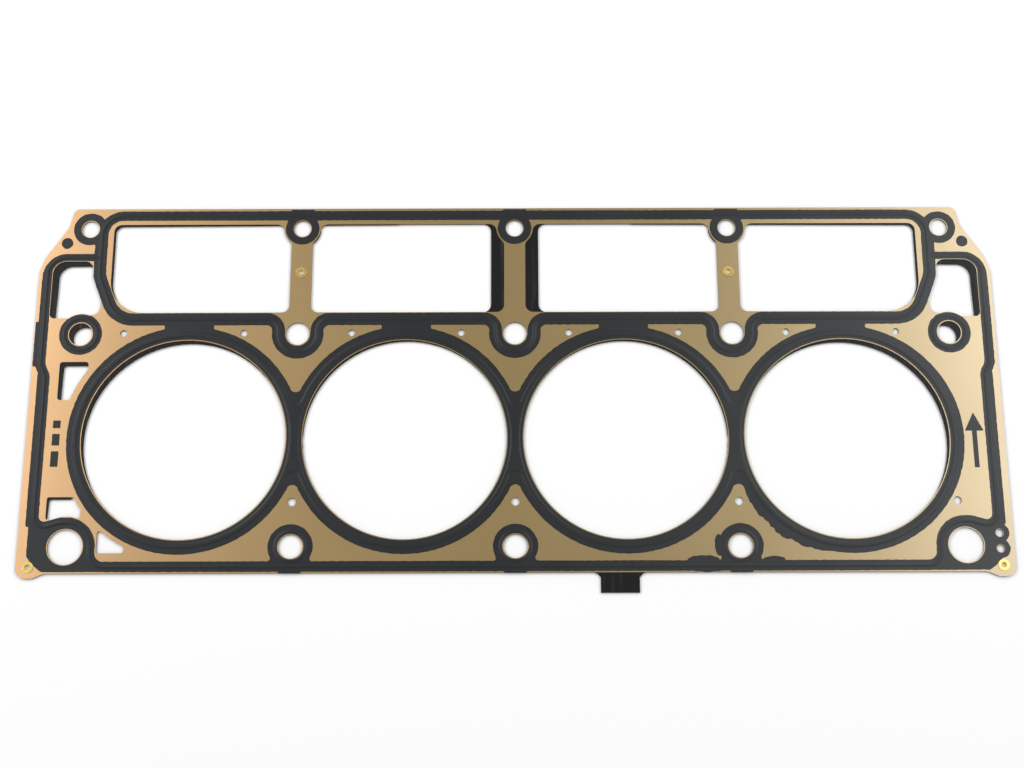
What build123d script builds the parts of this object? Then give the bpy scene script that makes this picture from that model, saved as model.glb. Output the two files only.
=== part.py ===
from build123d import *
import os
from math import atan2, degrees

# A sheet steel cylinder head gasket for one bank of four cylinders, in millimetres.
# It is a stack of two sheets held by four hollow rivets. The lower one is a plain black carrier sheet,
# and the upper one is a thin spring steel sheet with hollow sealing beads pressed up into it.
# +X runs along the bank, +Y goes from the bore line to the valley side, and +Z is up out of the beads.
# The origin is on the line of the bores, half way along it, on the face that lies on the engine block.

# Bores
bore_pitch = 111.76
bore_count = 4
bore_radius = 51.7

# Head bolts stand half a pitch off the bores in two rows, and the lower row ends in two dowel holes
head_bolt_row = 55.2
head_bolt_hole_radius = 6.0
dowel_hole_radius = 8.8

# Small bolts along the valley side
valley_bolt_row = 112.8
valley_bolt_pitch = 111.1
valley_bolt_hole_radius = 4.5

# Sheets
carrier_thickness = 1.0
top_sheet_thickness = 0.25

# Outline, the same at both ends
half_length = 247.2
valley_edge = 124.0
lower_edge = 68.4
shoulder_x = 230.9
shoulder_drop = 10.1
shoulder_step = 2.4
chamfer_end_y = 97.2
chamfer_end_inset = 2.8
foot_drop = 2.5
foot_length = 8.5
foot_ramp = 5.6

# Windows over the valley, one for each cylinder
window_top_edge = 115.2
window_bottom_edge = 66.7
window_end_x = 209.8
web_width = 11.0
carrier_centre_web_width = 24.6
window_corner_radius = 4.0
window_end_lower_radius = 17.5
valley_bolt_land_radius = 9.5

# Large coolant ports, one at each end
port_outer_x = 240.3
port_top_edge = 95.0
port_bottom_edge = 63.8
port_inner_x = 219.3
port_inner_low_x = 214.2
port_step_top = 86.5
port_step_bottom = 74.0
port_heel_edge = 65.6
head_bolt_land_radius = 11.0

# Three small coolant ports at the left end, following the end bore and the dowel hole
left_port_bore_gap = 10.6
left_port_low_gap = 9.4
upper_left_port = (-233.0, -218.2, 20.2, 40.4)
middle_left_port = (-234.2, -216.9, -41.4, -30.0)
lower_left_port = (-208.0, -194.3, -58.3, -44.0)
dowel_land_radius = 15.4

# Steam holes
upper_steam_row = 55.6
upper_steam_hole_radius = 1.8
inner_steam_offset = 28.2
left_steam_offset = 33.7
lower_steam_row = -32.8
lower_steam_hole_radius = 2.1
end_steam_hole_x = 220.8

# Two small holes beside the right dowel
edge_hole_x = 240.4
edge_hole_y = (-49.2, -57.0)
edge_hole_radius = 2.0

# Hollow rivets
corner_rivet_x = 241.2
corner_rivet_y = -65.2
web_rivet_y = 88.6
rivet_barrel_radius = 1.9
rivet_hole_radius = 1.3
rivet_flange_radius = 2.9
rivet_flange_height = 0.3
rivet_flange_rounding = 0.12
rivet_flare = 0.5
rivet_clearance = 0.02

# Sealing beads, each a ridge with sloping flanks over a groove pressed up from below
bead_height = 0.3
bead_flank_width = 0.9
bore_bead_inner_gap = 1.6
bore_bead_width = 3.2
neck_bead_fillet = 3.2
line_bead_width = 2.2
end_bolt_bead_radius = 8.5
inner_bolt_bead_radius = 7.4

# Path of the bead round the windows
valley_bead_y = 120.1
valley_bead_end_x = 216.0
valley_bead_turn_y = 87.0
valley_bead_low_x = 206.4
under_window_bead_y = 63.1
bolt_dip_radius = 9.9

# Path of the bead round the coolant jacket
jacket_bead_top_y = 97.1
jacket_bead_x = 243.0
jacket_jog_x = 240.2
jacket_jog_top = 39.0
jacket_jog_bottom = 33.0
jacket_bead_lower_y = 65.1
dowel_bead_radius = 12.3

# Tab of the carrier sheet, on its lower edge
tab_x = 51.6
tab_width = 19.2
tab_drop = 10.0

half_bore_pitch = bore_pitch / 2
end_bolt_x = bore_pitch * bore_count / 2
bore_x = [half_bore_pitch * (2 * i + 1 - bore_count) for i in range(bore_count)]
bolt_x = [bore_pitch * i - end_bolt_x for i in range(bore_count + 1)]
valley_bolt_x = [valley_bolt_pitch * (i - bore_count / 2) for i in range(bore_count + 1)]
inner_bolt_x = bolt_x[1:-1]
end_bore_x = bore_x[-1]
carrier_top = carrier_thickness
top_sheet_top = carrier_top + top_sheet_thickness
bead_taper = degrees(atan2(bead_flank_width, bead_height))
rivet_xy = [
    (-corner_rivet_x, corner_rivet_y),
    (corner_rivet_x, corner_rivet_y),
    (valley_bolt_x[1], web_rivet_y),
    (valley_bolt_x[3], web_rivet_y),
]


def mirrored(points, radii):
    """Closes a half outline, listed from the left end's top to its bottom, with its mirror image."""
    others = [(-x, y) for x, y in reversed(points)]
    return points + others, list(radii) + list(reversed(radii))


def filleted_face(points, radii):
    """A face with straight sides and rounded corners."""
    with BuildSketch() as face:
        with BuildLine():
            FilletPolyline(*points, radius=radii, close=True)
        make_face()
    return face.sketch


def sheet_outline():
    """The outer edge that both sheets share, with a foot round each corner rivet."""
    shoulder_low_x = shoulder_x + shoulder_step
    foot_edge = -lower_edge - foot_drop
    foot_inner_x = half_length - foot_length
    half = [
        (-shoulder_x, valley_edge),
        (-shoulder_low_x, valley_edge - shoulder_drop),
        (-half_length + chamfer_end_inset, chamfer_end_y),
        (-half_length, chamfer_end_y - 3 * chamfer_end_inset),
        (-half_length, foot_edge),
        (-foot_inner_x, foot_edge),
        (-foot_inner_x + foot_ramp, -lower_edge),
    ]
    points, radii = mirrored(half, (2.6, 8, 12, 12, 5.4, 4, 8))
    return filleted_face(points, radii)


def window_faces(centre_web_width):
    """The four windows. A web stands between each two, and widens round its bolt hole."""
    sides = []
    for i in range(bore_count):
        left = valley_bolt_x[i] + web_width / 2
        right = valley_bolt_x[i + 1] - web_width / 2
        if i == 0:
            left = -window_end_x
        if i == bore_count - 1:
            right = window_end_x
        if i == bore_count // 2 - 1:
            right = -centre_web_width / 2
        if i == bore_count // 2:
            left = centre_web_width / 2
        sides.append((left, right))
    with BuildSketch() as windows:
        for left, right in sides:
            middle = ((left + right) / 2, (window_top_edge + window_bottom_edge) / 2)
            with Locations(middle):
                Rectangle(right - left, window_top_edge - window_bottom_edge)
        with Locations(*[(x, valley_bolt_row) for x in valley_bolt_x[1:-1]]):
            Circle(valley_bolt_land_radius, mode=Mode.SUBTRACT)
        corners = windows.vertices()
        ends = corners.filter_by_position(Axis.Y, window_bottom_edge - 1, window_bottom_edge + 1)
        left_end = ends.sort_by(Axis.X)[0]
        right_end = ends.sort_by(Axis.X)[-1]
        others = [v for v in corners if v not in (left_end, right_end)]
        fillet(others, window_corner_radius)
        ends = windows.vertices().filter_by_position(Axis.Y, window_bottom_edge - 1, window_bottom_edge + 1)
        fillet([ends.sort_by(Axis.X)[0], ends.sort_by(Axis.X)[-1]], window_end_lower_radius)
    return windows.sketch


def end_port_face():
    """The right coolant port. Its lower side is dented by the land round the end head bolt."""
    with BuildSketch() as port:
        with BuildLine():
            Polyline(
                (port_outer_x, port_bottom_edge),
                (port_outer_x, port_top_edge),
                (port_inner_x, port_top_edge),
                (port_inner_x, port_step_top),
                (port_inner_low_x, port_step_bottom),
                (port_inner_low_x, port_heel_edge),
                (end_bolt_x, port_heel_edge),
                (end_bolt_x, port_bottom_edge),
                close=True,
            )
        make_face()
        with Locations((end_bolt_x, head_bolt_row)):
            Circle(head_bolt_land_radius, mode=Mode.SUBTRACT)
        corners = port.vertices()
        outer = corners.filter_by_position(Axis.X, port_outer_x - 1, port_outer_x + 1).sort_by(Axis.Y)
        inner_top = corners.filter_by_position(Axis.Y, port_top_edge - 1, port_top_edge + 1).sort_by(Axis.X)[0]
        step = corners.filter_by_position(Axis.Y, port_step_bottom - 1, port_step_top + 1).sort_by(Axis.Y)
        heel = corners.filter_by_position(Axis.X, port_inner_low_x - 0.1, port_inner_low_x + 0.1).sort_by(Axis.Y)[0]
        fillet([outer[0]], 2.5)
        fillet([v for v in port.vertices() if (v.X, v.Y) == (outer[1].X, outer[1].Y)], 7)
        fillet([v for v in port.vertices() if (v.X, v.Y) == (inner_top.X, inner_top.Y)], 4.5)
        fillet([v for v in port.vertices() if (v.X, v.Y) == (heel.X, heel.Y)], 4.5)
        fillet([v for v in port.vertices() if (v.X, v.Y) in [(s.X, s.Y) for s in step]], 6)
    return port.sketch


def left_port_face(bounds, bore_gap, radius):
    """A small port that keeps its distance from the end bore and the left dowel hole."""
    left, right, bottom, top = bounds
    with BuildSketch() as port:
        with Locations(((left + right) / 2, (bottom + top) / 2)):
            Rectangle(right - left, top - bottom)
        with Locations((-end_bore_x, 0)):
            Circle(bore_radius + bore_gap, mode=Mode.SUBTRACT)
        with Locations((-end_bolt_x, -head_bolt_row)):
            Circle(dowel_land_radius, mode=Mode.SUBTRACT)
        fillet(port.vertices(), radius)
    return port.sketch


def shared_holes():
    """Every hole that runs through both sheets alike, apart from the windows."""
    with BuildSketch() as holes:
        port = end_port_face()
        add(port)
        mirror(port, about=Plane.YZ)
        add(left_port_face(upper_left_port, left_port_bore_gap, 1.6))
        add(left_port_face(middle_left_port, left_port_low_gap, 1.2))
        add(left_port_face(lower_left_port, left_port_low_gap, 1.2))
        with Locations(*[(x, 0) for x in bore_x]):
            Circle(bore_radius)
        head_bolts = [(x, head_bolt_row) for x in bolt_x] + [(x, -head_bolt_row) for x in inner_bolt_x]
        with Locations(*head_bolts):
            Circle(head_bolt_hole_radius)
        with Locations((-end_bolt_x, -head_bolt_row), (end_bolt_x, -head_bolt_row)):
            Circle(dowel_hole_radius)
        with Locations(*[(x, valley_bolt_row) for x in valley_bolt_x]):
            Circle(valley_bolt_hole_radius)
        upper_steam = [(x + side * inner_steam_offset, upper_steam_row) for x in bore_x for side in (-1, 1)]
        upper_steam[0] = (-end_bore_x - left_steam_offset, upper_steam_row)
        with Locations(*upper_steam):
            Circle(upper_steam_hole_radius)
        lower_steam = [(x, lower_steam_row) for x in inner_bolt_x + [end_steam_hole_x]]
        with Locations(*lower_steam):
            Circle(lower_steam_hole_radius)
        with Locations(*[(edge_hole_x, y) for y in edge_hole_y]):
            Circle(edge_hole_radius)
        with Locations(*rivet_xy):
            Circle(rivet_barrel_radius + rivet_clearance)
    return holes.sketch


def bead_solid(face):
    """A bead over a flat face, as high as the beads are and narrower at its crest than at its foot."""
    with BuildPart() as bead:
        with BuildSketch(Plane.XY):
            add(face)
        extrude(amount=bead_height, taper=bead_taper)
    return bead.part


def bore_bead_solid():
    """The four ring beads round the bores, joined where they meet."""
    inner = bore_radius + bore_bead_inner_gap
    with BuildPart() as bead:
        with BuildSketch(Plane.XY) as footprint:
            with Locations(*[(x, 0) for x in bore_x]):
                Circle(inner + bore_bead_width)
            fillet(footprint.vertices(), neck_bead_fillet)
        extrude(amount=bead_height, taper=bead_taper)
        with Locations(*[(x, 0, bead_height / 2) for x in bore_x]):
            Cone(inner, inner + bead_flank_width, bead_height, mode=Mode.SUBTRACT)
    return bead.part


def ring_bead_solid(x, y, radius):
    """One ring bead round a bolt hole."""
    inner = radius - line_bead_width / 2
    outer = radius + line_bead_width / 2
    with BuildPart() as bead:
        with Locations((x, y, bead_height / 2)):
            Cone(outer, outer - bead_flank_width, bead_height)
            Cone(inner, inner + bead_flank_width, bead_height, mode=Mode.SUBTRACT)
    return bead.part


def band_face(loop):
    """A band of the bead's width along the edge of a closed loop."""
    with BuildSketch() as face:
        add(loop)
        offset(amount=line_bead_width / 2, kind=Kind.ARC)
        add(offset(loop, amount=-line_bead_width / 2, kind=Kind.ARC, mode=Mode.PRIVATE), mode=Mode.SUBTRACT)
    return face.sketch


def valley_loop():
    """The loop that the bead follows round the windows, with a dip round each inner head bolt."""
    dip_y = head_bolt_row - bolt_dip_radius
    left = [
        (-valley_bead_end_x, valley_bead_y),
        (-valley_bead_end_x, valley_bead_turn_y),
        (-valley_bead_low_x, under_window_bead_y),
    ]
    dips = []
    for x in inner_bolt_x:
        near, far = x - bolt_dip_radius, x + bolt_dip_radius
        dips += [(near, under_window_bead_y), (near, dip_y), (far, dip_y), (far, under_window_bead_y)]
    right = [(-x, y) for x, y in reversed(left)]
    dip_radii = [6.2, 9.8, 9.8, 6.2] * len(inner_bolt_x)
    return filleted_face(left + dips + right, [11, 20, 14] + dip_radii + [14, 20, 11])


def jacket_loop():
    """The loop that the bead follows round the coolant jacket, inside each dowel hole."""
    dowel_top = -head_bolt_row + dowel_bead_radius
    dowel_side = end_bolt_x - dowel_bead_radius
    half = [
        (-jacket_bead_x, jacket_bead_top_y),
        (-jacket_bead_x, jacket_jog_top),
        (-jacket_jog_x, jacket_jog_bottom),
        (-jacket_jog_x, dowel_top - 3.8),
        (-end_bolt_x - 3.2, dowel_top),
        (-dowel_side, dowel_top),
        (-dowel_side, -jacket_bead_lower_y),
    ]
    points, radii = mirrored(half, (9.5, 4, 4, 5.5, 8, dowel_bead_radius, 7))
    return filleted_face(points, radii)


outline = sheet_outline()
holes = shared_holes()
windows_loop = valley_loop()

with BuildSketch() as jacket_band:
    add(band_face(jacket_loop()))
    add(windows_loop, mode=Mode.SUBTRACT)

end_rings = [(x, head_bolt_row) for x in (bolt_x[0], bolt_x[-1])]
inner_rings = [(x, -head_bolt_row) for x in inner_bolt_x]

with BuildPart() as beads:
    add(bore_bead_solid())
    add(bead_solid(band_face(windows_loop)))
    add(bead_solid(jacket_band.sketch))
    for x, y in end_rings:
        add(ring_bead_solid(x, y, end_bolt_bead_radius))
    for x, y in inner_rings:
        add(ring_bead_solid(x, y, inner_bolt_bead_radius))

with BuildPart() as carrier_sheet:
    with BuildSketch(Plane.XY):
        add(outline)
        with Locations((tab_x, -lower_edge)):
            Rectangle(tab_width, 2 * tab_drop)
        add(window_faces(carrier_centre_web_width), mode=Mode.SUBTRACT)
        add(holes, mode=Mode.SUBTRACT)
    extrude(amount=carrier_thickness)
    with Locations(*[(x, y, rivet_flare / 2) for x, y in rivet_xy]):
        countersink_top = rivet_barrel_radius + rivet_clearance
        Cone(countersink_top + rivet_flare, countersink_top, rivet_flare, mode=Mode.SUBTRACT)
carrier_sheet.part.label = "carrier_sheet"

with BuildPart() as top_sheet:
    with BuildSketch(Plane.XY.offset(carrier_top)):
        add(outline)
        add(window_faces(web_width), mode=Mode.SUBTRACT)
        add(holes, mode=Mode.SUBTRACT)
    extrude(amount=top_sheet_thickness)
    with Locations((0, 0, top_sheet_top)):
        add(beads.part)
    with Locations((0, 0, carrier_top)):
        add(beads.part, mode=Mode.SUBTRACT)
top_sheet.part.label = "top_sheet"

with BuildPart() as rivets:
    with BuildSketch(Plane.XZ) as rivet_profile:
        with BuildLine():
            Polyline(
                (rivet_hole_radius, 0),
                (rivet_barrel_radius + rivet_flare, 0),
                (rivet_barrel_radius, rivet_flare),
                (rivet_barrel_radius, top_sheet_top),
                (rivet_flange_radius, top_sheet_top),
                (rivet_flange_radius, top_sheet_top + rivet_flange_height),
                (rivet_hole_radius, top_sheet_top + rivet_flange_height),
                close=True,
            )
        make_face()
        flange_top = rivet_profile.vertices().group_by(Axis.Y)[-1]
        fillet(flange_top, rivet_flange_rounding)
    with BuildPart(mode=Mode.PRIVATE) as rivet:
        add(rivet_profile.sketch)
        revolve(axis=Axis.Z)
    with Locations(*rivet_xy):
        add(rivet.part)
rivets.part.label = "rivets"

os.makedirs("parts", exist_ok=True)
export_step(carrier_sheet.part, "parts/carrier_sheet.step")
export_step(top_sheet.part, "parts/top_sheet.step")
export_step(rivets.part, "parts/rivets.step")
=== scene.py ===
import bpy
import math
import random
import numpy as np
from mathutils import Matrix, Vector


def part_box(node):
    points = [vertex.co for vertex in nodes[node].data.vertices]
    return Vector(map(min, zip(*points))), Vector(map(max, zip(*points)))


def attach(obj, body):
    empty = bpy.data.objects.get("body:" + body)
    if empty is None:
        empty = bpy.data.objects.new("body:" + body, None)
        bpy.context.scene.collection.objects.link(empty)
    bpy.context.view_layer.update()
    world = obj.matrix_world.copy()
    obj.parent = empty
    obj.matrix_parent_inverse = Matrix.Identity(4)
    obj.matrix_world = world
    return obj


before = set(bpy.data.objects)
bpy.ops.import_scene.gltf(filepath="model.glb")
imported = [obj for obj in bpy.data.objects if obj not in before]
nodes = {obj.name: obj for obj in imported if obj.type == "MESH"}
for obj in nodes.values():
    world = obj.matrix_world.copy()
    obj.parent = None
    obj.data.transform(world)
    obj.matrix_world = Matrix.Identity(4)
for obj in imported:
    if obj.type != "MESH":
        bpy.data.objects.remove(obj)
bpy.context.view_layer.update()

# The solids keep their shapes. The printed coat, the marks and the dark lips of the carrier are thin films.
# Sizes are in millimetres, in the part's own frame.

MM = 0.001
SHEET_THICKNESS = 0.25
BEAD_HEIGHT = 0.3
SHEET_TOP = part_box("top_sheet")[1][2] / MM - BEAD_HEIGHT
CARRIER_TOP = SHEET_TOP - SHEET_THICKNESS

PITCH = 111.76
VALLEY_PITCH = 111.1
BORES = [PITCH * (i - 1.5) for i in range(4)]
BOLTS = [PITCH * (i - 2) for i in range(5)]
VALLEY = [VALLEY_PITCH * (i - 2) for i in range(5)]
END_BOLT = BOLTS[-1]
BORE_R = 51.7
HEAD_BOLT_R = 6.0
HEAD_ROW = 55.2
VALLEY_ROW = 112.8
EDGE_HOLES = [(240.4, -49.2), (240.4, -57.0)]
WINDOW_LOW = 66.7
WINDOW_TOP = 115.2

# The line beads
VALLEY_TOP = 120.1
VALLEY_LOW = 63.1
DIP_LOW = 45.3
DIP_HALF = 9.9
JACKET_TOP = 97.1
JACKET_LOW = -65.1
SIDE_LINE = 240.2

# The beads' widths at the foot, the ring beads' middle radii, and how wide a flank is in plan
LINE_BEAD = 2.2
BORE_BEAD = 3.2
BORE_LAND = 1.6
UPPER_RING_BEAD = 8.5
LOWER_RING_BEAD = 7.4
FLANK = 0.9

# Outer radii of the print round the bores, bolts and edge holes
BORE_PRINT_R = 59.1
END_PRINT_R = 11.0
LOWER_PRINT_R = 11.2
VALLEY_PRINT_R = 8.8
EDGE_PRINT_R = 4.8

# The print stops this far outside a hole's edge, or at these radii
BARE_RIM = 0.45
WINDOW_RIM = 0.25
DOWEL_BARE_R = 9.2
VALLEY_BARE_R = 4.85
EDGE_BARE_R = 2.15

# The coat's film lies this far over the upper sheet, and the lips' film this far under the carrier's top
COAT_LIFT = 0.09
LIP_DROP = 0.04

# Grid steps of the films' meshes
COAT_STEP = 0.55
FINE_STEP = 0.4

# Larger than any distance that matters here
FAR = 99.0


# Distance fields in plan, negative inside a shape

def ring(gx, gy, x, y, r):
    return np.hypot(gx - x, gy - y) - r


def box_field(gx, gy, x0, x1, y0, y1):
    """Distance field of a box, good enough near its sides."""
    across = np.abs(gx - (x0 + x1) / 2) - (x1 - x0) / 2
    along = np.abs(gy - (y0 + y1) / 2) - (y1 - y0) / 2
    return np.maximum(across, along)


def rounded_box(gx, gy, x0, x1, y0, y1, r):
    """Distance field of a box with rounded corners. r lists them from the lower left, counterclockwise."""
    field = box_field(gx, gy, x0, x1, y0, y1)
    corners = [(x0, y0, 1, 1), (x1, y0, -1, 1), (x1, y1, -1, -1), (x0, y1, 1, -1)]
    for (x, y, sx, sy), radius in zip(corners, r):
        cx, cy = x + sx * radius, y + sy * radius
        near = ((gx - cx) * sx < 0) & ((gy - cy) * sy < 0)
        field = np.where(near, np.hypot(gx - cx, gy - cy) - radius, field)
    return field


def union(fields):
    return np.minimum.reduce(fields)


def smooth_min(a, b, r):
    """Union of two distance fields with a fillet in the inner corner."""
    corner = r - np.hypot(np.maximum(r - a, 0), np.maximum(r - b, 0))
    return np.where((a < r) & (b < r), corner, np.minimum(a, b))


def joined_rings(gx, gy, radius, fillet):
    """Discs round the bores, joined in the necks by arcs that touch both neighbours."""
    overlap = 0.9
    field = union([ring(gx, gy, x, 0, radius) for x in BORES])
    reach = radius + fillet
    centre_y = math.sqrt(reach ** 2 - (PITCH / 2) ** 2)
    for x in BOLTS[1:-1]:
        fill = fillet - np.hypot(gx - x, np.abs(gy) - centre_y)
        fill = np.maximum(fill, np.abs(gy) - centre_y)
        fill = np.maximum(fill, np.abs(gx - x) - fillet * PITCH / 2 / reach - overlap)
        field = np.minimum(field, fill)
    return field


def line_distance(points, gx, gy, reach, closed):
    """Distance from a polyline, exact within reach of it and large elsewhere."""
    dist = np.full(gx.shape, FAR)
    step = gx[0, 1] - gx[0, 0]
    x0, y0 = gx[0, 0], gy[0, 0]
    count = len(points) if closed else len(points) - 1
    for i in range(count):
        ax, ay = points[i]
        bx, by = points[(i + 1) % len(points)]
        c0 = max(0, int((min(ax, bx) - reach - x0) / step))
        c1 = min(gx.shape[1], int((max(ax, bx) + reach - x0) / step) + 2)
        r0 = max(0, int((min(ay, by) - reach - y0) / step))
        r1 = min(gx.shape[0], int((max(ay, by) + reach - y0) / step) + 2)
        if c0 >= c1 or r0 >= r1:
            continue
        px, py = gx[r0:r1, c0:c1] - ax, gy[r0:r1, c0:c1] - ay
        dx, dy = bx - ax, by - ay
        t = np.clip((px * dx + py * dy) / max(dx * dx + dy * dy, 1e-9), 0, 1)
        d = np.hypot(px - t * dx, py - t * dy)
        dist[r0:r1, c0:c1] = np.minimum(dist[r0:r1, c0:c1], d)
    return dist


def noise(gx, gy, scale, seed):
    """Smooth noise in about -1 to 1 from a few fixed waves."""
    waves = 9
    rng = random.Random(seed)
    total = np.zeros(gx.shape)
    for k in range(waves):
        a = rng.uniform(0, 2 * math.pi)
        f = 2 * math.pi / (scale * rng.uniform(0.5, 1.6))
        total += np.sin((gx * math.cos(a) + gy * math.sin(a)) * f + rng.uniform(0, 6.28))
    return total / (waves / 2)


# The routes of the line beads, as the solid has them

def rounded(points, radii, closed=True):
    """Points along a polyline whose corners are rounded by arcs of the given radii."""
    spacing = 0.8
    out = []
    n = len(points)
    for i, (x, y) in enumerate(points):
        if not closed and i in (0, n - 1):
            out.append((x, y))
            continue
        ax, ay = points[i - 1]
        bx, by = points[(i + 1) % n]
        ux, uy = ax - x, ay - y
        vx, vy = bx - x, by - y
        lu, lv = math.hypot(ux, uy), math.hypot(vx, vy)
        ux, uy, vx, vy = ux / lu, uy / lu, vx / lv, vy / lv
        half = math.acos(max(-1, min(1, ux * vx + uy * vy))) / 2
        r = radii[i]
        cut = r / math.tan(half)
        wx, wy = ux + vx, uy + vy
        lw = math.hypot(wx, wy)
        reach = r / math.sin(half)
        cx, cy = x + wx / lw * reach, y + wy / lw * reach
        a0 = math.atan2(y + uy * cut - cy, x + ux * cut - cx)
        a1 = math.atan2(y + vy * cut - cy, x + vx * cut - cx)
        turn = (a1 - a0 + math.pi) % (2 * math.pi) - math.pi
        steps = max(3, int(abs(turn) * r / spacing) + 1)
        for k in range(steps + 1):
            a = a0 + turn * k / steps
            out.append((cx + r * math.cos(a), cy + r * math.sin(a)))
    return np.array(out)


def valley_line():
    """The closed bead round the windows, which dips round each inner head bolt."""
    left = [(-216.0, VALLEY_TOP), (-216.0, 87.0), (-206.4, VALLEY_LOW)]
    dips = []
    for x in BOLTS[1:-1]:
        dips += [(x - DIP_HALF, VALLEY_LOW), (x - DIP_HALF, DIP_LOW)]
        dips += [(x + DIP_HALF, DIP_LOW), (x + DIP_HALF, VALLEY_LOW)]
    right = [(-x, y) for x, y in reversed(left)]
    radii = [11, 20, 14] + [6.2, 9.8, 9.8, 6.2] * 3 + [14, 20, 11]
    return rounded(left + dips + right, radii)


def jacket_line():
    """The open bead round the coolant jacket, which turns inside each dowel hole."""
    half = [(-216, JACKET_TOP), (-243, JACKET_TOP), (-243, 39), (-SIDE_LINE, 33), (-SIDE_LINE, -46.7)]
    half += [(-226.7, -42.9), (-211.2, -42.9), (-211.2, JACKET_LOW)]
    radii = [0, 9.5, 4, 4, 5.5, 8, 12.3, 7]
    points = half + [(-x, y) for x, y in reversed(half)]
    return rounded(points, radii + radii[::-1], closed=False)


VALLEY_LINE = valley_line()
JACKET_LINE = jacket_line()


# The openings

def windows_field(gx, gy):
    """The four windows, cut back round the valley bolts."""
    spans = ((-209.8, -116.6), (-105.6, -5.5), (5.5, 105.6), (116.6, 209.8))
    corners = ((17.5, 4, 4, 4), (4, 4, 4, 4), (4, 4, 4, 4), (4, 17.5, 4, 4))
    windows = []
    for (x0, x1), radii in zip(spans, corners):
        window = rounded_box(gx, gy, x0, x1, WINDOW_LOW, WINDOW_TOP, radii)
        for x in VALLEY:
            window = np.maximum(window, -ring(gx, gy, x, VALLEY_ROW, 9.5))
        windows.append(window)
    return union(windows)


def ports_field(gx, gy):
    """The two large ports at the ends, each with a step on its inner side."""
    ports = []
    for side in (-1, 1):
        body = rounded_box(gx * side, gy, 219.3, 240.3, 63.8, 95.0, (0.1, 2.5, 7, 4.5))
        foot = rounded_box(gx * side, gy, 214.2, 230, 65.6, 76.0, (4.5, 0.1, 0.1, 4.0))
        ports.append(np.maximum(union([body, foot]), -ring(gx, gy, side * END_BOLT, HEAD_ROW, 11.0)))
    return union(ports)


def left_openings_field(gx, gy):
    """The two openings beside the left bore that the carrier shows in."""
    upper = rounded_box(gx, gy, -233.0, -218.2, 20.2, 40.4, (1.6, 1.6, 1.6, 1.6))
    lower = rounded_box(gx, gy, -234.2, -216.9, -41.4, -30.0, (1.2, 1.2, 1.2, 1.2))
    return np.maximum(union([upper, lower]), -ring(gx, gy, BORES[0], 0, BORE_R + 10.6))


def cut_field(gx, gy):
    """Negative inside the openings in which the carrier shows past the upper sheet."""
    cuts = [ring(gx, gy, x, 0, BORE_R) for x in BORES]
    cuts += [ring(gx, gy, x, HEAD_ROW, HEAD_BOLT_R) for x in (-END_BOLT, END_BOLT)]
    cuts += [windows_field(gx, gy), ports_field(gx, gy), left_openings_field(gx, gy)]
    return union(cuts)


def bare_field(gx, gy):
    """Negative inside the holes and the bare rims round them, where the coat ends."""
    bare = [ring(gx, gy, x, 0, BORE_R + BARE_RIM) for x in BORES]
    bare += [ring(gx, gy, x, HEAD_ROW, HEAD_BOLT_R + BARE_RIM) for x in BOLTS]
    bare += [ring(gx, gy, x, -HEAD_ROW, HEAD_BOLT_R + BARE_RIM) for x in BOLTS[1:-1]]
    bare += [ring(gx, gy, x, -HEAD_ROW, DOWEL_BARE_R) for x in (-END_BOLT, END_BOLT)]
    bare += [ring(gx, gy, x, VALLEY_ROW, VALLEY_BARE_R) for x in VALLEY]
    bare += [ring(gx, gy, x, y, EDGE_BARE_R) for x, y in EDGE_HOLES]
    bare.append(union([windows_field(gx, gy), ports_field(gx, gy)]) - WINDOW_RIM)
    return union(bare)


# The printed coat

def band_coat(gx, gy):
    """Bands along the two line beads."""
    valley = line_distance(VALLEY_LINE, gx, gy, 12, True)
    jacket = line_distance(JACKET_LINE, gx, gy, 12, False)
    half_valley = np.interp(gy, [108, 117], [3.3, 2.6])
    half_jacket = np.interp(gy, [84, 94], [2.6, 2.0])
    return union([valley - half_valley, jacket - half_jacket])


def with_bolt_rings(coat, gx, gy):
    """The coat with rings round the bolt holes."""
    for x in (-END_BOLT, END_BOLT):
        coat = np.minimum(coat, ring(gx, gy, x, HEAD_ROW, END_PRINT_R))
    for x in BOLTS[1:-1]:
        coat = smooth_min(coat, ring(gx, gy, x, -HEAD_ROW, LOWER_PRINT_R), 2.5)
        bump = box_field(gx, gy, x - 5.5, x + 5.5, -68.6, -60)
        # The band of the window bead, where it dips round the bolt
        dip = np.abs(ring(gx, gy, x, HEAD_ROW, DIP_HALF)) - 3.4
        dip = np.where(gy < HEAD_ROW + 1, dip, 9)
        coat = union([coat, bump, dip])
    for x in VALLEY:
        coat = np.minimum(coat, ring(gx, gy, x, VALLEY_ROW, VALLEY_PRINT_R))
    for x in VALLEY[1:-1]:
        coat = np.minimum(coat, box_field(gx, gy, x - 6, x + 6, 112, 123.4))
    return coat


def end_coat(gx, gy):
    """The dots, side strips and corner patches at the ends."""
    outward = np.abs(gx)
    dots = ring(outward, gy, 233.9, 105.0, 3.0)
    left_strip = box_field(gx, gy, -247.0, -240.5, 38, 62)
    side_strips = box_field(outward, gy, 240.5, 243.9, -45, 34)
    low_strips = box_field(outward, gy, 206, 226, -67.6, -62)
    # The corner patches run round the dowel holes
    corner = box_field(outward, gy, 211.7, 242.3, -67.6, -44.0)
    corner = np.maximum(corner, ring(outward, gy, 222.5, -47.5, 23.2))
    inner = ring(outward, gy, END_BOLT, -HEAD_ROW, 14.6)
    corner = np.where(outward < 226, np.maximum(corner, inner), corner)
    corner = np.maximum(corner, -ring(outward, gy, END_BOLT, -HEAD_ROW, 8.9))
    edge_rings = [ring(gx, gy, x, y, EDGE_PRINT_R) for x, y in EDGE_HOLES]
    return union([dots, left_strip, side_strips, low_strips, corner] + edge_rings)


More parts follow.
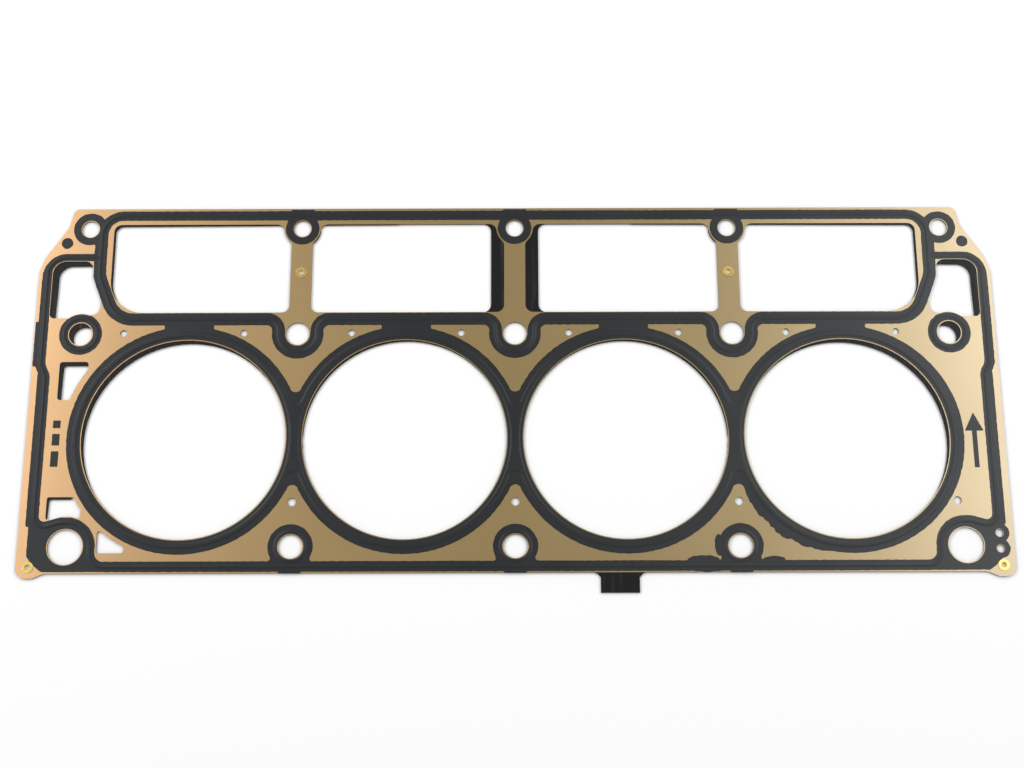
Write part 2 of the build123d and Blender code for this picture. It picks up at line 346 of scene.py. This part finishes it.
def smeared_coat(gx, gy):
    """Uneven edges of the print at the lower left of the right bore."""
    rough = noise(gx, gy, 6.0, 7)
    turn = np.arctan2(gy, gx - BORES[-1]) + math.radians(127)
    smear = np.clip(1 - np.abs(turn) / math.radians(27), 0, 1) ** 0.5
    fields = [ring(gx, gy, BORES[-1], 0, 58.6 + smear * (2.9 + 0.7 * rough))]
    lobes = [(100.8, -55, 2.0, 5.6), (93, -62, 8, 1.9), (128, -62, 5.5, 1.5), (95, -66.9, 8, 1.4)]
    for x, y, a, b in lobes:
        blob = np.hypot((gx - x) / a, (gy - y) / b) - 1
        fields.append(blob * min(a, b) + 0.18 * rough)
    return union(fields)


def coat_field(gx, gy):
    """Negative inside the printed coat, before the holes are taken out of it."""
    coat = union([joined_rings(gx, gy, BORE_PRINT_R, 3.0), band_coat(gx, gy)])
    # Between the bores and the windows
    for x in BORES:
        coat = np.minimum(coat, box_field(gx, gy, x - 12.7, x + 12.7, 52, 64))
    coat = with_bolt_rings(coat, gx, gy)
    coat = union([coat, end_coat(gx, gy), smeared_coat(gx, gy)])
    return coat + noise(gx, gy, 3.0, 3) * 0.10


def bead_height(gx, gy):
    """Height of the beads over the sheet, the same ridges as the solid has."""
    def rise(inset):
        return np.clip(inset / FLANK, 0, 1) * BEAD_HEIGHT

    hollow_r = BORE_R + BORE_LAND
    hollow = union([ring(gx, gy, x, 0, hollow_r) for x in BORES])
    outer = joined_rings(gx, gy, hollow_r + BORE_BEAD, BORE_BEAD)
    valley = line_distance(VALLEY_LINE, gx, gy, 4, True)
    jacket = line_distance(JACKET_LINE, gx, gy, 4, False)
    middles = [valley, jacket]
    middles += [np.abs(ring(gx, gy, x, HEAD_ROW, UPPER_RING_BEAD)) for x in (-END_BOLT, END_BOLT)]
    middles += [np.abs(ring(gx, gy, x, -HEAD_ROW, LOWER_RING_BEAD)) for x in BOLTS[1:-1]]
    return np.maximum(rise(np.minimum(-outer, hollow)), rise(LINE_BEAD / 2 - union(middles)))


# The regions that get a film

def coat_region(gx, gy):
    return np.maximum(coat_field(gx, gy), -bare_field(gx, gy))


def mark_region(gx, gy):
    """A plain arrow at the right end and plain bars at the left end."""
    shaft = box_field(gx, gy, 230.9, 233.3, -16, 4)
    head = np.maximum(np.abs(gx - 232.1) - (12.5 - gy) * 0.5, 3 - gy)
    spans = ((5.5, 9.5), (-3.5, 2.5), (-14.5, -6.5))
    bars = [box_field(gx, gy, -234.0, -230.2, y0, y1) for y0, y1 in spans]
    return union([shaft, head] + bars)


def lip_region(gx, gy):
    """Where the black carrier shows past the upper sheet, on the far side of each opening."""
    rows = [-60, -35, 30, 80]
    # The windows' lips are narrower
    share = np.where((gy > 64) & (np.abs(gx) < 212), 0.4, 1.0)
    end_x = np.interp(gy, rows, [0, 1.1, 2.1, 3.3])
    end_y = np.interp(gy, rows, [0, 0.9, 1.8, 2.6])
    shift_x = share * end_x * np.sign(gx) * (gx / 225) ** 2
    shift_y = share * (0.3 + end_y * np.abs(gx / 225))
    lip = np.maximum(cut_field(gx, gy), -cut_field(gx + shift_x, gy + shift_y))
    # The step on the inner side of each port stays clear
    lip = np.maximum(lip, -box_field(np.abs(gx), gy, 211, 221, 62, 91))
    # Flares at the root of the tab
    flare_r = 4.0
    for x, side in ((61.2, 1), (42.0, -1)):
        far_x = x + flare_r * side
        flare = box_field(gx, gy, min(x, far_x), max(x, far_x), -72.4, -68.2)
        flare = np.maximum(flare, -ring(gx, gy, far_x, -72.4, flare_r))
        lip = np.minimum(lip, flare)
    return lip


# Meshes of the films

def film(name, field, step, x0, x1, y0, y1, lift, height):
    """A thin mesh over the places where field is negative, with edges cut where it crosses zero.

    It lies lift over the upper sheet, and height, where given, says how much more each point rises.
    """
    xs = np.arange(x0, x1 + step, step)
    ys = np.arange(y0, y1 + step, step)
    gx, gy = np.meshgrid(xs, ys)
    f = field(gx, gy)
    inside = f < 0
    index = {}
    verts = []
    faces = []

    def corner(r, c):
        key = (r, c)
        if key not in index:
            index[key] = len(verts)
            verts.append((xs[c], ys[r]))
        return index[key]

    def crossing(r0, c0, r1, c1):
        key = (r0, c0, r1, c1) if (r0, c0) < (r1, c1) else (r1, c1, r0, c0)
        if key not in index:
            a, b = f[r0, c0], f[r1, c1]
            t = a / (a - b)
            index[key] = len(verts)
            verts.append((xs[c0] + (xs[c1] - xs[c0]) * t, ys[r0] + (ys[r1] - ys[r0]) * t))
        return index[key]

    cell = inside[:-1, :-1] * 1 + inside[:-1, 1:] * 1 + inside[1:, 1:] * 1 + inside[1:, :-1] * 1
    for r, c in np.argwhere(cell > 0):
        square = [(r, c), (r, c + 1), (r + 1, c + 1), (r + 1, c)]
        if cell[r, c] == 4:
            faces.append([corner(*p) for p in square])
            continue
        poly = []
        for k in range(4):
            p, q = square[k], square[(k + 1) % 4]
            if inside[p]:
                poly.append(corner(*p))
            if inside[p] != inside[q]:
                poly.append(crossing(*p, *q))
        if len(poly) > 2:
            faces.append(poly)
    flat = np.array(verts)
    z = height(flat[:, 0], flat[:, 1]) if height else np.zeros(len(flat))
    mesh = bpy.data.meshes.new(name)
    points = [(x * MM, y * MM, (SHEET_TOP + lift + h) * MM) for (x, y), h in zip(verts, z)]
    mesh.from_pydata(points, [], faces)
    mesh.validate()
    obj = bpy.data.objects.new(name, mesh)
    bpy.context.collection.objects.link(obj)
    return obj


COAT_SPAN = (-250, 250, -75, 127)
grid_x = np.arange(COAT_SPAN[0], COAT_SPAN[1] + COAT_STEP, COAT_STEP)
grid_y = np.arange(COAT_SPAN[2], COAT_SPAN[3] + COAT_STEP, COAT_STEP)
bead_heights = bead_height(*np.meshgrid(grid_x, grid_y))


def heights_at(px, py):
    """Bead heights at loose points, read from the grid between its own points."""
    u = (px - grid_x[0]) / COAT_STEP
    v = (py - grid_y[0]) / COAT_STEP
    c = np.clip(u.astype(int), 0, len(grid_x) - 2)
    r = np.clip(v.astype(int), 0, len(grid_y) - 2)
    a, b = u - c, v - r
    low = bead_heights[r, c] * (1 - a) + bead_heights[r, c + 1] * a
    high = bead_heights[r + 1, c] * (1 - a) + bead_heights[r + 1, c + 1] * a
    return low * (1 - b) + high * b


lip_lift = CARRIER_TOP - SHEET_TOP - LIP_DROP
coat = film("sealing_coat", coat_region, COAT_STEP, *COAT_SPAN, COAT_LIFT, heights_at)
marks = film("direction_marks", mark_region, FINE_STEP, -240, 240, -20, 16, COAT_LIFT, None)
lips = film("carrier_lips", lip_region, FINE_STEP, -246, 246, -74, 118, lip_lift, None)


# Materials

def new_material(name):
    mat = bpy.data.materials.new(name)
    mat.use_nodes = True
    tree = mat.node_tree
    shader = tree.nodes["Principled BSDF"]
    return mat, tree, shader


def object_coords(tree):
    return tree.nodes.new("ShaderNodeTexCoord").outputs["Object"]


def noise_node(tree, coords, scale, stretch, detail=4.0):
    mapping = tree.nodes.new("ShaderNodeMapping")
    mapping.inputs["Scale"].default_value = stretch
    tree.links.new(coords, mapping.inputs["Vector"])
    tex = tree.nodes.new("ShaderNodeTexNoise")
    tex.inputs["Scale"].default_value = scale
    tex.inputs["Detail"].default_value = detail
    tree.links.new(mapping.outputs["Vector"], tex.inputs["Vector"])
    return tex.outputs["Fac"]


def ramp(tree, fac, stops):
    made = tree.nodes.new("ShaderNodeValToRGB")
    elements = made.color_ramp.elements
    while len(elements) < len(stops):
        elements.new(0.5)
    for element, (pos, colour) in zip(elements, stops):
        element.position = pos
        element.color = (*colour, 1)
    tree.links.new(fac, made.inputs["Fac"])
    return made.outputs["Color"]


def along_bank(tree, coords):
    """0 at the left end and 1 at the right end."""
    half_length = 0.247
    split = tree.nodes.new("ShaderNodeSeparateXYZ")
    tree.links.new(coords, split.inputs["Vector"])
    along = tree.nodes.new("ShaderNodeMapRange")
    along.inputs["From Min"].default_value = -half_length
    along.inputs["From Max"].default_value = half_length
    tree.links.new(split.outputs["X"], along.inputs["Value"])
    return along.outputs["Result"]


def multiply(tree, a, b):
    mix = tree.nodes.new("ShaderNodeMix")
    mix.data_type = "RGBA"
    mix.blend_type = "MULTIPLY"
    mix.inputs[0].default_value = 1.0
    tree.links.new(a, mix.inputs[6])
    tree.links.new(b, mix.inputs[7])
    return mix.outputs[2]


def add_bump(tree, shader, height, strength):
    bump = tree.nodes.new("ShaderNodeBump")
    bump.inputs["Strength"].default_value = strength
    bump.inputs["Distance"].default_value = 0.0002
    tree.links.new(height, bump.inputs["Height"])
    tree.links.new(bump.outputs["Normal"], shader.inputs["Normal"])


def steel_material():
    mat, tree, shader = new_material("warm_spring_steel")
    coords = object_coords(tree)
    grain = noise_node(tree, coords, 900.0, (0.06, 1.0, 1.0), 3.0)
    cloud = noise_node(tree, coords, 14.0, (1.0, 1.0, 1.0), 4.0)
    # Painted reflection: the base colour runs from orange at the left to cream at the right, darker in the
    # middle, standing in for the light the steel reflects along the bank
    painted_reflection = ramp(tree, along_bank(tree, coords), [
        (0.0, (0.62, 0.385, 0.205)), (0.22, (0.51, 0.35, 0.17)), (0.5, (0.42, 0.305, 0.14)),
        (0.78, (0.44, 0.335, 0.18)), (1.0, (0.44, 0.36, 0.24)),
    ])
    shade = ramp(tree, cloud, [(0.3, (0.92, 0.92, 0.92)), (0.7, (1.0, 1.0, 1.0))])
    tree.links.new(multiply(tree, painted_reflection, shade), shader.inputs["Base Color"])
    shader.inputs["Metallic"].default_value = 1.0
    shader.inputs["Roughness"].default_value = 0.34
    add_bump(tree, shader, grain, 0.05)
    return mat


def coat_material():
    mat, tree, shader = new_material("charcoal_coat")
    coords = object_coords(tree)
    fine = noise_node(tree, coords, 700.0, (1.0, 1.0, 1.0), 3.0)
    cloud = noise_node(tree, coords, 30.0, (1.0, 1.0, 1.0), 4.0)
    # Painted reflection: the coat's base colour gets lighter grey towards the right end, standing in for
    # the brighter light it reflects there
    painted_reflection = ramp(tree, along_bank(tree, coords), [
        (0.0, (0.015, 0.017, 0.0195)), (0.5, (0.013, 0.015, 0.017)),
        (0.75, (0.024, 0.0265, 0.029)), (1.0, (0.042, 0.044, 0.047)),
    ])
    shade = ramp(tree, cloud, [(0.3, (0.75, 0.75, 0.75)), (0.7, (1.0, 1.0, 1.0))])
    tree.links.new(multiply(tree, painted_reflection, shade), shader.inputs["Base Color"])
    shader.inputs["Roughness"].default_value = 0.42
    shader.inputs["Specular IOR Level"].default_value = 0.34
    add_bump(tree, shader, fine, 0.12)
    return mat


def carrier_material():
    mat, tree, shader = new_material("black_carrier")
    coords = object_coords(tree)
    scratches = noise_node(tree, coords, 260.0, (2.5, 0.12, 1.0), 2.0)
    colour = ramp(tree, scratches, [(0.55, (0.008, 0.008, 0.009)), (0.8, (0.035, 0.035, 0.037))])
    tree.links.new(colour, shader.inputs["Base Color"])
    shader.inputs["Roughness"].default_value = 0.38
    shader.inputs["Specular IOR Level"].default_value = 0.18
    return mat


def brass_material():
    mat, tree, shader = new_material("brass_rivet")
    coords = object_coords(tree)
    fine = noise_node(tree, coords, 400.0, (1.0, 1.0, 1.0), 3.0)
    colour = ramp(tree, fine, [(0.3, (0.62, 0.43, 0.10)), (0.7, (0.78, 0.58, 0.20))])
    tree.links.new(colour, shader.inputs["Base Color"])
    shader.inputs["Metallic"].default_value = 1.0
    shader.inputs["Roughness"].default_value = 0.28
    return mat


def paint(obj, mat):
    obj.data.materials.clear()
    obj.data.materials.append(mat)


charcoal = coat_material()
black = carrier_material()
paint(nodes["top_sheet"], steel_material())
paint(nodes["carrier_sheet"], black)
paint(nodes["rivets"], brass_material())
for piece, material in ((coat, charcoal), (marks, charcoal), (lips, black)):
    paint(piece, material)
    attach(piece, "root")


# Floor, world, lights and camera

bpy.ops.mesh.primitive_plane_add(size=6, location=(0, 0, 0))
floor = bpy.context.object
floor.name = "floor"
floor_mat, _, floor_shader = new_material("floor_white")
floor_shader.inputs["Base Color"].default_value = (0.97, 0.97, 0.97, 1)
floor_shader.inputs["Roughness"].default_value = 0.9
paint(floor, floor_mat)

world = bpy.data.worlds.new("studio")
bpy.context.scene.world = world
world.use_nodes = True
world.node_tree.nodes["Background"].inputs["Color"].default_value = (1, 1, 1, 1)
world.node_tree.nodes["Background"].inputs["Strength"].default_value = 0.58


def softbox(name, place, aim, size, power):
    """An area light at place that faces aim, with its length along the valley direction."""
    light = bpy.data.lights.new(name, "AREA")
    light.shape = "RECTANGLE"
    light.size = size[0]
    light.size_y = size[1]
    light.energy = power
    obj = bpy.data.objects.new(name, light)
    bpy.context.collection.objects.link(obj)
    obj.location = place
    direction = np.array(aim) - np.array(place)
    direction = direction / np.linalg.norm(direction)
    back = -direction
    side = np.cross((0, 1, 0), back)
    side = side / np.linalg.norm(side)
    up = np.cross(back, side)
    obj.matrix_world = Matrix([
        (side[0], up[0], back[0], place[0]),
        (side[1], up[1], back[1], place[1]),
        (side[2], up[2], back[2], place[2]),
        (0, 0, 0, 1),
    ])


softbox("right_box", (0.80, 0.40, 1.05), (0.1, 0, 0), (0.6, 1.2), 6.5)
softbox("left_box", (-0.95, 0.45, 1.05), (-0.1, 0, 0), (0.5, 1.2), 8)

# The camera's place, angles and focal length come from a fit to the bores and bolt rows
FOCAL_PIXELS = 1540.77
IMAGE_WIDTH = 1024
SENSOR_WIDTH = 36
CAMERA_PLACE = (-1.564, -180.375, 757.478 + SHEET_TOP)
CAMERA_ANGLES = (15.3854, 0.0407, -0.1478)

cam_data = bpy.data.cameras.new("camera")
cam = bpy.data.objects.new("camera", cam_data)
bpy.context.collection.objects.link(cam)
cam_data.sensor_width = SENSOR_WIDTH
cam_data.lens = FOCAL_PIXELS / IMAGE_WIDTH * SENSOR_WIDTH
cam_data.clip_start = 0.01
cam.location = [value * MM for value in CAMERA_PLACE]
cam.rotation_euler = [math.radians(angle) for angle in CAMERA_ANGLES]
bpy.context.scene.camera = cam
bpy.context.scene.view_settings.view_transform = "Standard"
